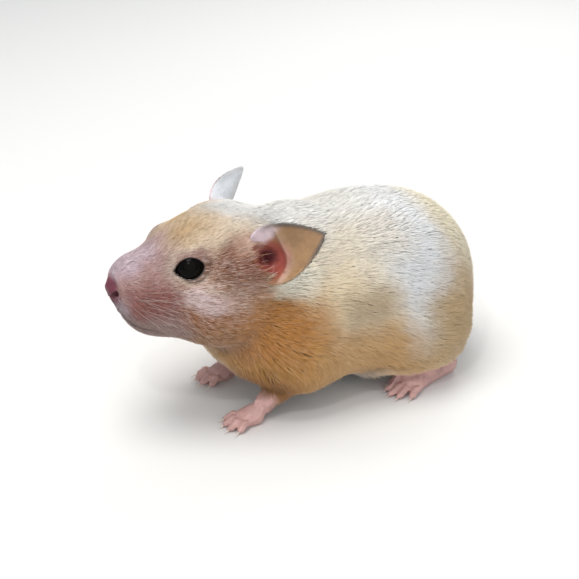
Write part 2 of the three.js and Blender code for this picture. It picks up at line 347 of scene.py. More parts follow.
# A thin cup that narrows to the tip, with a ridge between its hollow and its blade.
def buildEar(side):
    rows, columns = 60, 96
    share = np.linspace(0.03, 0.998, rows)[:, None]
    turn = np.linspace(0, 2 * math.pi, columns, endpoint=False)[None, :]
    roundness = np.sqrt(1 - (2 * share - 1) ** 2)
    half = earHalf(share)
    bend = mixed(*earShape["cup"], share) / 2
    radius = half / np.sin(bend)
    face = np.sin(turn)
    thick = earShape["thickness"] / 2 * roundness**0.3 * np.sign(face) * np.abs(face) ** 0.6
    angle = np.cos(turn) * bend * -side
    along = earShape["length"] * share + 0 * turn
    flat = np.stack([along, radius * np.sin(angle)], axis=2).reshape(-1, 2)
    ridge = distanceToLine(flat, earShape["ridge"]).reshape(rows, columns)
    lift = np.exp(-((ridge / earShape["ridgeWidth"]) ** 2)) * np.maximum(-face, 0) ** 0.3
    shell = radius + thick - earShape["ridgeHeight"] * lift
    local = np.stack([along, shell * np.sin(angle), radius - shell * np.cos(angle)], axis=2).reshape(-1, 3)
    return meshPiece("ear", fromEar(local, side), gridFaces(rows, columns, False))


def hollowEars(piece):
    for side in (-1, 1):
        for middle, radii in (earShape["concha"], earShape["canal"]):
            bpy.ops.mesh.primitive_uv_sphere_add(segments=48, ring_count=32, radius=mm)
            egg = bpy.context.active_object
            placePoints(egg, fromEar(pointsOf(egg) * radii + np.array(middle), side))
            applied(piece, "BOOLEAN", operation="DIFFERENCE", object=facingOut(egg), solver="MANIFOLD")
            bpy.data.objects.remove(egg)


def buildLid(side):
    rows, columns = 96, 12
    angle = np.linspace(-math.pi, math.pi, rows, endpoint=False)[:, None]
    turn = np.linspace(0, 2 * math.pi, columns, endpoint=False)[None, :]
    opening = openingAt(angle)
    reach = opening + 0.12 + lidShape["rim"] * np.cos(turn)
    out = seatAt(opening) + 0.08 + lidShape["rim"] * np.sin(turn)
    local = np.stack([reach * np.cos(angle), reach * np.sin(angle), out], axis=2).reshape(-1, 3)
    return meshPiece("lid", local @ eyeAxes(side) + eyeMiddles[side], gridFaces(rows, columns, True))


def buildSkin():
    body = joined([mergedCopy(node, skinShape["seamGrowth"]) for node in skinShape["body"]], "skin")
    applied(body, "REMESH", mode="VOXEL", voxel_size=skinShape["bodyVoxel"] * mm)
    smoothed(body, 12)
    outline = treeOf(body)
    points, normals = pointsOf(body), normalsOf(body)
    placePoints(body, points - normals * (coatDepth(points) + skinShape["seamGrowth"])[:, None])
    softenBrow(body)
    shapeSockets(body)
    guide = treeOf(body)
    hollowEars(body)
    ears = [buildEar(side) for side in (-1, 1)]
    earTrees = {side: treeOf(ear) for side, ear in zip((-1, 1), ears)}
    bare = [reachBody(mergedCopy(node, 0.05), outline, guide) for node in skinShape["bare"]]
    lids = [buildLid(side) for side in (-1, 1)]
    skin = joined([body] + ears + bare + lids, "skin")
    applied(skin, "REMESH", mode="VOXEL", voxel_size=skinShape["fineVoxel"] * mm)
    smoothed(skin, 3)
    keepLargest(skin)
    return skin, guide, earTrees


def keepLargest(piece):
    inEditMode(piece, bpy.ops.mesh.separate, type="LOOSE")
    shells = bpy.context.selected_objects
    piece.data = max(shells, key=lambda shell: len(shell.data.vertices)).data
    for shell in shells:
        if shell != piece:
            bpy.data.objects.remove(shell)


lidShape = {"slope": 0.5, "reach": 3.2, "rim": 0.28, "sink": 2.2}
brow = ((-6.5, 0, 3.5), (7.5, 9, 5))
headFills = [  # place, size, and the way and height of each
    ((2.0, 0, 7.5), (6, 7, 5), (0, 0, 1.3)),
    ((-11.5, 0, 1.0), (4, 4, 3.5), (-0.3, 0, 0.8)),
    ((-3, 0, -14), (9, 8, 6), (0, 0, -0.9)),
]


# Fills the forehead, the bridge of the nose and the jaw a little, then smooths the brow.
def softenBrow(piece):
    points = pointsOf(piece)
    for place, size, way in headFills:
        points += within(toHead(points), (place, size), 0, 1.5)[:, None] * (np.array(way) @ headAxes)
    placePoints(piece, points)
    fadingGroup(piece, "brow", within(toHead(points), brow, 0.5, 1.1))
    applied(piece, "SMOOTH", factor=0.5, iterations=40, vertex_group="brow")
    piece.vertex_groups.clear()


# Shapes the skin round each eyeball into a low slope that ends at the lids.
def shapeSockets(piece):
    points = pointsOf(piece)
    for side in (-1, 1):
        local = toEye(points, side)
        around, opening = acrossEye(local)
        wanted = seatAt(opening) + 0.1 - lidShape["slope"] * np.maximum(around - opening, 0)
        wanted -= lidShape["sink"] * (1 - blendStep(around, opening - 1.1, opening))
        share = (1 - blendStep(around, opening + 0.3, opening + lidShape["reach"])) * (local[:, 2] > -1.5)
        points += ((wanted - local[:, 2]) * share)[:, None] * eyeAxes(side)[2]
    placePoints(piece, points)


skin, guide, earTrees = buildSkin()
print("skin", len(skin.data.vertices), "points")

# ---- face: nostrils and lips ----

faceLines = {
    "philtrum": [(-14.9, 0, -5.2), (-14.6, 0, -6.4), (-13.8, 0, -8.2)],
    "lips": [(-13.8, 0, -8.2), (-13.2, 1.5, -9.6), (-11.8, 2.9, -11.0),
             (-9.6, 4.2, -12.0), (-7.4, 4.8, -12.2)],
    "grooveDepth": 0.5,
    "grooveWidth": 0.4,
    "nostril": [(-14.9, 1.1, -5.5), (-14.6, 1.7, -5.3), (-14.0, 2.2, -4.8)],
    "nostrilDepth": 0.8,
    "nostrilWidth": 0.42,
}


def lineOnSkin(line, tree, side):
    places = []
    for start, end in zip(line[:-1], line[1:]):
        for share in np.linspace(0, 0.875, 8):
            place = fromHead(sided(mixed(np.array(start, float), np.array(end, float), share), side))
            places.append(np.array(tree.find_nearest(Vector(place * mm))[0]) / mm)
    return places


def fromFaceLine(points, name, tree):
    lines = [lineOnSkin(faceLines[name], tree, side) for side in (-1, 1)]
    return np.min([distanceToLine(points, line) for line in lines], axis=0)


def carveFace(piece):
    points, normals = pointsOf(piece), normalsOf(piece)
    close = np.nonzero(toHead(points)[:, 0] < -5)[0]
    tree = treeOf(piece)
    philtrum, lips, nostril = [fromFaceLine(points[close], name, tree)
                               for name in ("philtrum", "lips", "nostril")]
    groove = np.exp(-((np.minimum(philtrum, lips) / faceLines["grooveWidth"]) ** 2))
    pit = np.exp(-((nostril / faceLines["nostrilWidth"]) ** 2))
    depth = faceLines["grooveDepth"] * groove + faceLines["nostrilDepth"] * pit
    points[close] -= normals[close] * depth[:, None]
    placePoints(piece, points)


# Toes end in fingertips: the skin's part of each claw is drawn back, and the claws are pieces of their own.
toeLayout = {
    "forepaw": {
        "middle": {"left": (-19.5, 10.8), "right": (-15.0, 9.6)},
        "places": (-1.5, -0.5, 0.5, 1.5),
        "forward": 2.2, "curve": 0.25, "gap": 1.35,
        "length": 5.0, "short": 0.45, "fan": 0.24, "turn": 0.06,
    },
    "hindfoot": {
        "middle": {"left": (19.5, 17.0), "right": (19.5, 17.0)},
        "places": (-2, -1, 0, 1, 2),
        "forward": 2.0, "curve": 0.45, "gap": 1.3,
        "length": 6.6, "short": 0.35, "fan": 0.17, "turn": 0.16,
    },
}
toeEnd = {"tip": 0.77, "drawn": 0.72, "reach": 0.75, "height": 2.5}
frameShift = -1.14  # the frame's origin, from the middle of the CAD's own axes


def toeLines():
    for layout in toeLayout.values():
        for name, side in (("left", -1), ("right", 1)):
            x, y = layout["middle"][name]
            for place in layout["places"]:
                start = np.array([x + frameShift - layout["forward"] + layout["curve"] * place**2,
                                  side * (y + place * layout["gap"]), 0])
                turn = side * (layout["fan"] * place + layout["turn"])
                way = np.array([-math.cos(turn), math.sin(turn), 0])
                yield start, way, layout["length"] - layout["short"] * place**2


def trimToes(piece):
    points = pointsOf(piece)
    for start, way, length in toeLines():
        along = (points - start) @ way
        beside = np.linalg.norm((points - start - along[:, None] * way)[:, :2], axis=1)
        tip = toeEnd["tip"] * length
        near = (beside < toeEnd["reach"]) & (along > tip) & (along < length + 0.8)
        near &= points[:, 2] < toeEnd["height"]
        points[near] -= ((along[near] - tip) * toeEnd["drawn"])[:, None] * way
    points[:, 2] = np.maximum(points[:, 2], 0)
    placePoints(piece, points)


carveFace(skin)
trimToes(skin)


def isDetail(points):
    inHead = toHead(points)
    detail = 1 - blendStep(inHead[:, 0], -4, 3)
    for side in (-1, 1):
        detail = np.maximum(detail, 1 - farFrom(points, eyeMiddles[side], 5, 7))
    for node in skinShape["ears"] + skinShape["bare"]:
        detail = np.maximum(detail, 1 - blendStep(boxDistance(points, node), 0.5, 2))
    return detail


def thinBody(piece):
    fadingGroup(piece, "plain", 1 - isDetail(pointsOf(piece)))
    ratio = min(1, skinShape["faces"] / (2 * len(piece.data.polygons)))
    applied(piece, "DECIMATE", ratio=ratio, vertex_group="plain", vertex_group_factor=4)
    piece.vertex_groups.clear()


thinBody(skin)
print("skin thinned to", len(skin.data.polygons), "faces")


def unwrap(piece):
    while piece.data.uv_layers:
        piece.data.uv_layers.remove(piece.data.uv_layers[0])
    piece.data.uv_layers.new(name="OFBake")
    inEditMode(piece, bpy.ops.uv.smart_project, angle_limit=math.radians(70), island_margin=0.002)


applied(skin, "TRIANGULATE")
unwrap(skin)
makeActive(skin)
bpy.ops.object.shade_smooth()
print("skin unwrapped", len(skin.data.polygons), "triangles")

# ---- eyes ----


def buildEye(name, side):
    bpy.ops.mesh.primitive_uv_sphere_add(segments=64, ring_count=40, radius=eyeRadius * mm)
    eyeball = bpy.context.active_object
    eyeball.name = eyeball.data.name = "eyeball_" + name
    points = pointsOf(eyeball)
    leaning = np.degrees(np.arccos(np.clip(unit(points) @ (0, 0, 1), -1, 1)))
    bulge = 1 - blendStep(leaning, 0, eyeShape["bulgeAngle"])
    points *= 1 + (eyeShape["bulge"] / eyeRadius) * bulge[:, None]
    turn = Vector((0, 0, 1)).rotation_difference(Vector(eyeAxes(side)[2]))
    placePoints(eyeball, points @ np.array(turn.to_matrix()).T + eyeMiddles[side])
    bpy.ops.object.shade_smooth()
    return eyeball


eyeballs = [buildEye("left", -1), buildEye("right", 1)]

# ---- claws ----

clawShape = {
    "length": 1.9,
    "radius": 0.3,
    "tip": 0.03,
    "rise": 0.45,
    "droop": 0.5,
    "start": 0.68,  # along the toe
    "narrow": 0.8,
    "low": 0.12,
}


def buildClaws():
    claws = []
    for start, way, length in toeLines():
        bpy.ops.mesh.primitive_cone_add(vertices=8, radius1=clawShape["radius"] * mm,
                                        radius2=clawShape["tip"] * mm, depth=clawShape["length"] * mm,
                                        end_fill_type="TRIFAN")
        claw = inEditMode(bpy.context.active_object, bpy.ops.mesh.subdivide, number_cuts=1)
        points = pointsOf(claw)
        share = points[:, 2] / clawShape["length"] + 0.5
        bend = clawShape["droop"] * share**2
        height = clawShape["radius"] + clawShape["rise"] * (1 - share) - bend * 0.3
        height = np.maximum(height, clawShape["low"]) + points[:, 1]
        beside = np.array([-way[1], way[0], 0]) * clawShape["narrow"]
        base = start + way * length * clawShape["start"]
        placed = base + (share * clawShape["length"])[:, None] * way + points[:, :1] * beside
        placed[:, 2] = np.maximum(height, 0)
        placePoints(claw, placed)
        claws.append(claw)
    claws = joined(claws, "claws")
    bpy.ops.object.shade_smooth()
    return claws


claws = buildClaws()
print("eyes and claws built")

# ---- small marks: lids, nose, paws and the parts of the ears ----

paints = {  # laid over one another in this order, by their shares at each point
    "blade": (0.35, 0.20, 0.095),
    # back of the ear: its own pale tone, made brighter and bluer to make up for the shade on it, so partly
    # painted light
    "back": (0.90, 0.93, 0.97),
    "hollow": (0.33, 0.065, 0.045),
    "pale": (0.84, 0.69, 0.74),
    "rim": (0.12, 0.095, 0.075),
    "paw": (0.68, 0.40, 0.36),
    "nose": (0.14, 0.026, 0.045),
    # near-black: painted shade inside the nostrils and in the ear's canal
    "pit": (0.07, 0.004, 0.008),
    "lid": (0.022, 0.013, 0.011),
}
marks = {
    "lid": (0.05, 0.4),
    "corner": ((3.5, -0.15), (1.1, 0.42)),
    "nose": ((-15.0, 0, -4.7), (3.0, 3.1, 2.9)),
    "pitShadeWidth": 0.7,
    "hollow": ((4.4, 0.8), (4.6, 4.9)),
    # where the ear's canal is painted near-black: painted shade in the hole
    "hole": ((3.7, -0.1), (2.5, 2.3)),
    "fold": ((4.4, -5.4), (4.6, 2.2)),
    "ridgeWidth": 0.7,
    "rim": (0.2, 1.5),
}
skinTree = treeOf(skin)


def onEar(points, side):
    local = toEar(points, side)
    near = np.full(len(points), 9.0)
    for i in np.nonzero(inEgg(local, ((8.5, 0, 2.5), (11, 9, 6))) < 1)[0]:
        near[i] = earTrees[side].find_nearest(Vector(points[i] * mm))[3] / mm
    return (1 - blendStep(near, 0.2, 0.5)) * blendStep(local[:, 0], 1.5, 3.5)


def paintAt(points, normals):
    inHead = toHead(points)
    shares = {name: np.zeros(len(points)) for name in paints}
    shares["nose"] = within(inHead, marks["nose"], 0.7, 1.3)
    muzzle = np.nonzero(inHead[:, 0] < -9)[0]
    # the nostrils take the near-black pit colour: painted shade inside them
    nostril = fromFaceLine(points[muzzle], "nostril", skinTree)
    shares["pit"][muzzle] = np.exp(-((nostril / marks["pitShadeWidth"]) ** 2))
    for name in (*feet, "tail"):
        shares["paw"] = np.maximum(shares["paw"], 1 - blendStep(boxDistance(points, name), 0.2, 2.5))
    for side in (-1, 1):
        eye = toEye(points, side)
        gap = np.subtract(*acrossEye(eye))
        corner = within(eye[:, :2], marks["corner"], 0.4, 1.2)
        lid = np.maximum(1 - blendStep(gap, *marks["lid"]), 0.8 * corner) * (eye[:, 2] > -1)
        ear, blade = toEar(points, side), onEar(points, side)
        flat = ear[:, :2]
        inner = blendStep(normals @ earAxes(side)[2], -0.35, 0.1)
        hollow = within(flat, marks["hollow"], 0.5, 1.15) * blendStep(flat[:, 0], -1, 1)
        hollow = hollow * (np.abs(ear[:, 2] - 2) < 4) * inner
        line = np.exp(-((distanceToLine(flat, np.array(earShape["ridge"])) / marks["ridgeWidth"]) ** 2))
        edge = 1 - blendStep(earHalf(flat[:, 0] / earShape["length"]) - np.abs(flat[:, 1]), *marks["rim"])
        here = {
            "lid": lid,
            "blade": blade,
            # back of the ear: its own pale tone, made brighter and bluer to make up for the shade on it, so
            # partly painted light
            "back": blade * (1 - inner),
            "hollow": hollow,
            # the ear's canal takes the near-black pit colour: painted shade in the hole
            "pit": within(flat, marks["hole"], 0.2, 1.2) * hollow,
            "pale": blade * inner * np.maximum(within(flat, marks["fold"], 0.6, 1.3), 0.1 * line),
            "rim": blade * edge * mixed(0.4, 1, inner) * blendStep(flat[:, 0] - 0.6 * flat[:, 1], 7, 13),
        }
        for name, share in here.items():
            shares[name] = np.maximum(shares[name], share)
    return np.column_stack(list(shares.values()))


def storeVectors(mesh, name, vectors):
    layer = mesh.attributes.new(name, "FLOAT_VECTOR", "POINT")
    layer.data.foreach_set("vector", vectors.ravel())


def storePaint(mesh, shares):
    for first in range(0, len(paints), 3):
        storeVectors(mesh, f"paint{first // 3}", shares[:, first:first + 3])


storePaint(skin.data, paintAt(pointsOf(skin), normalsOf(skin)))

# ---- coat: thin solid tufts, laid by the lie of the hair ----

coatShape = {
    "faceDensity": 25.0,  # tufts on each square millimetre
    "bodyDensity": 12.0,
    "earBack": 7.0,
    "earHollow": 0.7,
    "foot": 2.6,
    "clumpSize": 12,
    "clumpPull": 0.17,
    "wander": 0.2,
    "ruffle": 0.11,
    "guardShare": 0.07,
    "floorGap": 0.6,
    "floorRise": 0.4,
    "shortest": 1.3,
    "lengthByDepth": 1.15,
    "thinnest": 0.14,
    "widthByDepth": 0.09,
    "earDepth": 0.12,
    "earLength": 1.2,
    "edgeDepth": 0.4,  # the hair that leans over the front edge of an ear
    "edgeLength": 3.1,
    "boundReach": 0.5,  # a root as near as this to the body's own skin has its whole tuft laid on it
}


# A soft field of random directions, from a few waves.
def waveField(shortest, longest):
    ways = unit(chance.normal(size=(14, 3)))
    lengths = chance.uniform(shortest, longest, 14)
    phases = chance.uniform(0, 2 * math.pi, (14, 3))

    def field(points):
        steps = (points @ ways.T) * (2 * math.pi / lengths)
        return np.stack([np.sin(steps + phases[:, axis]).mean(axis=1) for axis in range(3)], axis=1) * 2

    return field


wandering = waveField(6, 17)
ruffling = waveField(1.8, 4.5)


def lieOfHair(points, normals):
    inHead = toHead(points)
    face = unit(inHead - np.array([-17.0, 0, -2.0]))
    face = unit(face + (1.1, 0, -0.1)) @ headAxes
    height = points[:, 2]
    flank = blendStep(np.abs(points[:, 1]), 5, 18)
    trunk = np.column_stack([np.ones(len(points)), 0.12 * np.sign(points[:, 1]) * flank, -0.32 * flank])
    rump = blendStep(points[:, 0], 20, 44)[:, None]
    trunk = trunk + rump * np.array([-0.35, 0, -1.0])
    breast = ((1 - blendStep(points[:, 0], -26, -12)) * (1 - blendStep(height, 18, 28)))[:, None]
    trunk = trunk + breast * np.array([-0.2, 0, -1.1])
    arm = np.exp(-(((points[:, 0] + 8) / 8) ** 2)) * flank * (1 - blendStep(height, 12, 20))
    trunk = trunk + arm[:, None] * np.array([-0.6, 0, -1.0])
    for name in feet:
        onFoot = (1 - blendStep(boxDistance(points, name), 0, 3))[:, None]
        trunk = mixed(trunk, np.array([-1.0, 0, -0.4]), onFoot)
    isBody = blendStep(inHead[:, 0] - 0.5 * inHead[:, 2], 8, 22)[:, None]
    lie = mixed(face, unit(trunk), isBody)
    lie += wandering(points) * coatShape["wander"] + ruffling(points) * coatShape["ruffle"]
    for side in (-1, 1):  # the hair of an ear points to its tip
        lie = mixed(lie, earAxes(side)[0] + 0 * lie, onEar(points, side)[:, None])
    lie -= (lie * normals).sum(axis=1, keepdims=True) * normals
    return unit(lie)


def hairiness(points, normals):
    inHead = toHead(points)
    isFace = 1 - blendStep(inHead[:, 0] - 0.5 * inHead[:, 2], 6, 18)
    density = mixed(coatShape["bodyDensity"], coatShape["faceDensity"], isFace)
    density *= blendStep(np.linalg.norm((inHead - nosePad) / (2.0, 2.3, 1.9), axis=1), 1.0, 1.35)
    for side in (-1, 1):
        eye = toEye(points, side)
        gap = np.subtract(*acrossEye(eye))
        density *= np.where(eye[:, 2] > -1, blendStep(gap, 0.08, 0.25), 1)
        ear = toEar(points, side)
        bare = (inEgg(ear, earShape["concha"]) < 1.1) | (inEgg(ear, earShape["canal"]) < 1.3)
        density *= np.where(bare, 0.02, 1)
        hollow = normals @ earAxes(side)[2] > 0
        earDensity = np.where(hollow, coatShape["earHollow"], coatShape["earBack"])
        density = mixed(density, earDensity, onEar(points, side))
    for name in (*feet, "tail"):
        onFoot = 1 - blendStep(boxDistance(points, name), 0.0, 0.6)
        density = mixed(density, coatShape["foot"] * blendStep(normals[:, 2], -0.1, 0.3), onFoot)
    return density * (points[:, 2] > 0.6)


def trianglesOf(piece):
    piece.data.calc_loop_triangles()
    return [valuesOf(piece.data.loop_triangles, part, 3, int) for part in ("vertices", "loops")]


def sampleRoots(piece):
    corners, loops = trianglesOf(piece)
    maps = valuesOf(piece.data.uv_layers["OFBake"].data, "uv", 2)
    points, normals = pointsOf(piece), normalsOf(piece)
    edges = points[corners]
    areas = np.linalg.norm(np.cross(edges[:, 1] - edges[:, 0], edges[:, 2] - edges[:, 0]), axis=1) / 2
    wanted = areas * hairiness(edges.mean(axis=1), unit(normals[corners].mean(axis=1)))
    total = int(wanted.sum())
    steps = (np.arange(total) + chance.random(total)) / total * wanted.sum()
    chosen = np.searchsorted(np.cumsum(wanted), steps).clip(0, len(corners) - 1)
    shares = chance.random((total, 2))
    shares = np.where(shares.sum(axis=1, keepdims=True) > 1, 1 - shares, shares)
    weights = np.column_stack([1 - shares.sum(axis=1), shares])[:, :, None]
    root = (points[corners[chosen]] * weights).sum(axis=1)
    normal = unit((normals[corners[chosen]] * weights).sum(axis=1))
    place = (maps[loops[chosen]] * weights).sum(axis=1)
    return root, normal, place


def clumpsOf(roots):
    leaders = chance.permutation(len(roots))[: len(roots) // coatShape["clumpSize"]]
    tree = KDTree(len(leaders))
    for leader in leaders:
        tree.insert(roots[leader], int(leader))
    tree.balance()
    return np.array([tree.find(point)[1] for point in roots])


# Shortens the tufts that would lie across an eye.
def clearOfEyes(roots, lies, lengths):
    for side in (-1, 1):
        place, way = toEye(roots, side), lies @ eyeAxes(side).T
        close = (np.hypot(place[:, 0], place[:, 1]) < 9) & (place[:, 2] > -3)
        allowed = np.ones(len(roots))
        for share in np.linspace(1, 0.1, 10):
            ahead = place + way * (lengths * share)[:, None]
            gap = np.subtract(*acrossEye(ahead))
            allowed = np.where(close & (gap < 0.12), share, allowed)
        lengths = lengths * np.where(allowed < 1, np.maximum(allowed - 0.1, 0.12), 1)
    return lengths


def laidOnSkin(points, normals, rises):
    places, facings = np.empty_like(points), np.empty_like(points)
    for i, point in enumerate(points * mm):
        places[i], facings[i] = guide.find_nearest(Vector(point))[:2]
    return places / mm + unit(facings + normals * 0.8) * rises[:, None]


def tuftLevels(tufts, segments):
    bow = chance.normal(0, 0.1, len(tufts["roots"])) * tufts["lengths"]
    sides = unit(np.cross(tufts["lies"], tufts["normals"]))
    for level in range(segments + 1):
        t = level / segments
        rises = tufts["depths"] * (1 - (1 - t) ** 1.9)
        flat = (tufts["roots"] + tufts["lies"] * (tufts["lengths"] * t**1.1)[:, None]
                + sides * (bow * t**2)[:, None] + tufts["pulls"] * t**1.6)
        centre = flat + tufts["normals"] * (rises - 0.1 * (t == 0))[:, None]
        if level:
            bound = tufts["bound"]
            centre[bound] = laidOnSkin(flat[bound], tufts["normals"][bound], rises[bound])
        half = (tufts["widths"] * (1 - t**1.7) * 0.5)[:, None]
        if level == segments:
            yield t, centre[:, None, :]
        else:
            outward = unit(tufts["normals"] - tufts["lies"] * (1 - t) * 0.5)
            ridge = centre + outward * half * 0.4
            yield t, np.stack([centre - sides * half, centre + sides * half, ridge], axis=1)


def tuftFaces(segments):
    faces = [(0, 1, 2)]
    for level in range(segments):
        low = level * 3
        for a, b in ((0, 1), (1, 2), (2, 0)):
            above = (low + 3,) if level == segments - 1 else (low + a + 3, low + b + 3)
            faces.append((low + b, low + a) + above)
    return faces


def buildTufts(name, tufts, segments=2):
    levels = list(tuftLevels(tufts, segments))
    points = np.concatenate([corners for _, corners in levels], axis=1)
    alongs = np.concatenate([[t] * corners.shape[1] for t, corners in levels])
    low = np.minimum(points[:, :, 2] - coatShape["floorGap"], 0)  # what is low bends clear of the floor
    points[:, :, 2] += coatShape["floorRise"] * (np.exp(low) - 1) - low
    count, each = points.shape[:2]
    faces = tuftFaces(segments)
    pattern = np.concatenate(faces)
    starts = np.cumsum([0] + [len(face) for face in faces[:-1]])
    tuftSteps = np.arange(count)[:, None]

    mesh = bpy.data.meshes.new(name)
    mesh.vertices.add(count * each)
    mesh.vertices.foreach_set("co", (points * mm).ravel())
    mesh.loops.add(count * len(pattern))
    mesh.loops.foreach_set("vertex_index", (pattern + tuftSteps * each).astype(np.int32).ravel())
    mesh.polygons.add(count * len(faces))
    mesh.polygons.foreach_set("loop_start", (starts + tuftSteps * len(pattern)).astype(np.int32).ravel())
    mesh.update(calc_edges=True)
    mesh.shade_smooth()

    strands = np.empty((count, each, 3))
    strands[:, :, 0] = alongs
    strands[:, :, 1:] = tufts["tints"][:, None, :]
    storeVectors(mesh, "root", np.repeat(tufts["roots"] * mm, each, axis=0))
    storeVectors(mesh, "strand", strands)
    storePaint(mesh, np.repeat(tufts["paint"], each, axis=0))

    patch = 0.003
    across = np.tile([0.0, 1.0, 0.5], segments + 1)[:each]
    local = (np.column_stack([across, alongs]) - 0.5)[pattern] * patch
    layer = mesh.uv_layers.new(name="OFBake")
    layer.data.foreach_set("uv", np.clip(tufts["places"][:, None, :] + local, 0, 1).ravel())

    piece = bpy.data.objects.new(name, mesh)
    bpy.context.collection.objects.link(piece)
    facing = tufts["normals"][:, None, :] + normalsOf(piece).reshape(count, each, 3) * 0.2
    mesh.normals_split_custom_set_from_vertices(unit(facing).reshape(-1, 3))
    return piece


def layCoat():
    roots, normals, places = sampleRoots(skin)
    count = len(roots)
    lies = lieOfHair(roots, normals)
    clumps = clumpsOf(roots)
    isEar = onEar(roots, -1) + onEar(roots, 1) > 0.5
    depths = np.where(isEar, coatShape["earDepth"], coatDepth(roots) * chance.uniform(0.88, 1.04, count))
    lengths = coatShape["shortest"] + coatShape["lengthByDepth"] * depths
    lengths = np.where(isEar, coatShape["earLength"], lengths) * chance.uniform(0.75, 1.15, count)
    overEar = np.zeros(count, bool)
    for side in (-1, 1):
        ear = toEar(roots, side)
        before = (np.linalg.norm((ear - (-0.5, 1.5, 2)) / (3.5, 5.5, 6), axis=1) < 1) & ~isEar
        overEar |= before
        longer = np.maximum(lengths, coatShape["edgeLength"] * chance.uniform(0.6, 1.1, count))
        lengths = np.where(before, longer, lengths)
        depths = np.where(before, coatShape["edgeDepth"] * chance.uniform(0.5, 1.5, count), depths)
        lies = np.where(before[:, None], unit(lies + 0.35 * normals + 0.5 * earAxes(side)[0]), lies)
    paint = paintAt(roots, normals)
    onFoot = paint[:, list(paints).index("paw")]
    lengths = lengths * mixed(1, 0.6, onFoot)
    depths = depths * mixed(1, 0.5, onFoot)
    lengths = clearOfEyes(roots, lies, lengths)
    tips = roots + lies * lengths[:, None]
    pulls = (tips[clumps] - tips) * coatShape["clumpPull"]
    pulls -= (pulls * normals).sum(axis=1, keepdims=True) * normals
    pulls *= np.minimum(1, lengths * 0.3 / np.maximum(np.linalg.norm(pulls, axis=1), 1e-6))[:, None]
    near = np.array([guide.find_nearest(Vector(point))[3] for point in roots * mm]) / mm
    inHead = toHead(roots)
    face = 1 - blendStep(inHead[:, 0] - 0.5 * inHead[:, 2], 8, 20)
    cheek = face * (1 - blendStep(inHead[:, 2], 0, 5)) * blendStep(inHead[:, 0], -10, -2)
    contrast = mixed(0.35, 1.3, cheek)
    guard = chance.random(count) < coatShape["guardShare"]
    depths = depths * (1 + 0.45 * face * blendStep(-normals[:, 2], 0.2, 0.8))
    widths = coatShape["thinnest"] + coatShape["widthByDepth"] * depths
    widths *= chance.uniform(0.8, 1.25, count)
    return {
        "roots": roots, "normals": normals, "places": places, "lies": lies, "pulls": pulls,
        "depths": depths * np.where(guard, 1.08, 1), "lengths": lengths * np.where(guard, 1.15, 1),
        "widths": widths * np.where(guard, 0.5, 1), "paint": paint * np.where(isEar[:, None], 1, furPaint),
        "tints": np.column_stack([0.5 + (chance.random(count) - 0.5) * contrast,
                                  chance.random(count)[clumps]]),
        "bound": (near < coatShape["boundReach"]) & ~isEar & ~overEar,
    }


# Hair beside the hollow of an ear, a nostril or a lid keeps its own colour.
furPaint = np.array([0.0 if name in ("hollow", "pit", "lid") else 1.0 for name in paints])

coat = layCoat()
print("coat of", len(coat["roots"]), "tufts")
coatRegions = {  # the axes, and how far along them each region goes: it takes what those before it have left
    "muzzle": ("head", -4),
    "face": ("head", 4),
    "cheek": ("head", 13),
    "neck": ("body", -7),
    "shoulder": ("body", 9),
    "flank": ("body", 25),
    "rump": ("body", 60),
}
coats = []
remaining = np.ones(len(coat["roots"]), bool)
for region, (axes, end) in coatRegions.items():
    places = toHead(coat["roots"]) if axes == "head" else coat["roots"]
    halves = {"": math.inf} if region == "muzzle" else {"_left": 0, "_right": math.inf}
    for half, border in halves.items():
        mine = remaining & (places[:, 0] < end) & (places[:, 1] < border)
        remaining &= ~mine
        tufts = {part: values[mine] for part, values in coat.items()}
        coats.append(buildTufts("coat_" + region + half, tufts))
        print(coats[-1].name, mine.sum(), "tufts")

# ---- whiskers ----

whiskerShape = {
    "count": 11,
    "length": (8, 18),
    "radius": 0.027,
    "tip": 0.008,
    "from": (-11.6, 4.9, -5.8),
    "spread": (1.7, 0.5, 1.5),
    "rings": 9,
    "corners": 5,
}


def whiskerPoints(root, normal, side):
    length = mixed(*whiskerShape["length"], chance.random())
    lean = sided((0.75 + 0.4 * chance.random(), 0.55, chance.uniform(-0.42, 0.3)), side) @ headAxes
    way = unit(lean + normal * 0.5)
    droop = np.array([0.35, 0, -0.25 * chance.random()])
    beside = unit(np.cross(way, (0, 0, 1)))
    above = np.cross(beside, way)
    for t in np.linspace(0, 1, whiskerShape["rings"]):
        centre = root - normal * 0.2 + way * length * t + droop * length * 0.35 * t**2
        radius = whiskerShape["radius"] * (1 - t) ** 0.7 + whiskerShape["tip"]
        for angle in np.linspace(0, 2 * math.pi, whiskerShape["corners"], endpoint=False):
            yield centre + (beside * math.cos(angle) + above * math.sin(angle)) * radius


def buildWhiskers():
    surface = treeOf(skin)
    tube = gridFaces(whiskerShape["rings"], whiskerShape["corners"], False)
    points, faces = [], []
    for side in (-1, 1):
        for _ in range(whiskerShape["count"]):
            spread = chance.uniform(-1, 1, 3) * whiskerShape["spread"]
            guess = fromHead(sided(np.array(whiskerShape["from"]) + spread, side))
            root, normal, _, _ = surface.find_nearest(Vector(guess * mm))
            faces += [tuple(len(points) + corner for corner in face) for face in tube]
            points += list(whiskerPoints(np.array(root) / mm, np.array(normal), side))
    whiskers = meshPiece("whiskers", points, faces)
    bpy.ops.object.shade_smooth()
    return whiskers


whiskers = buildWhiskers()
print("whiskers built")

# ---- materials ----


def newMaterial(name):
    material = bpy.data.materials.new(name)
    material.use_nodes = True
    return material, material.node_tree, material.node_tree.nodes["Principled BSDF"]


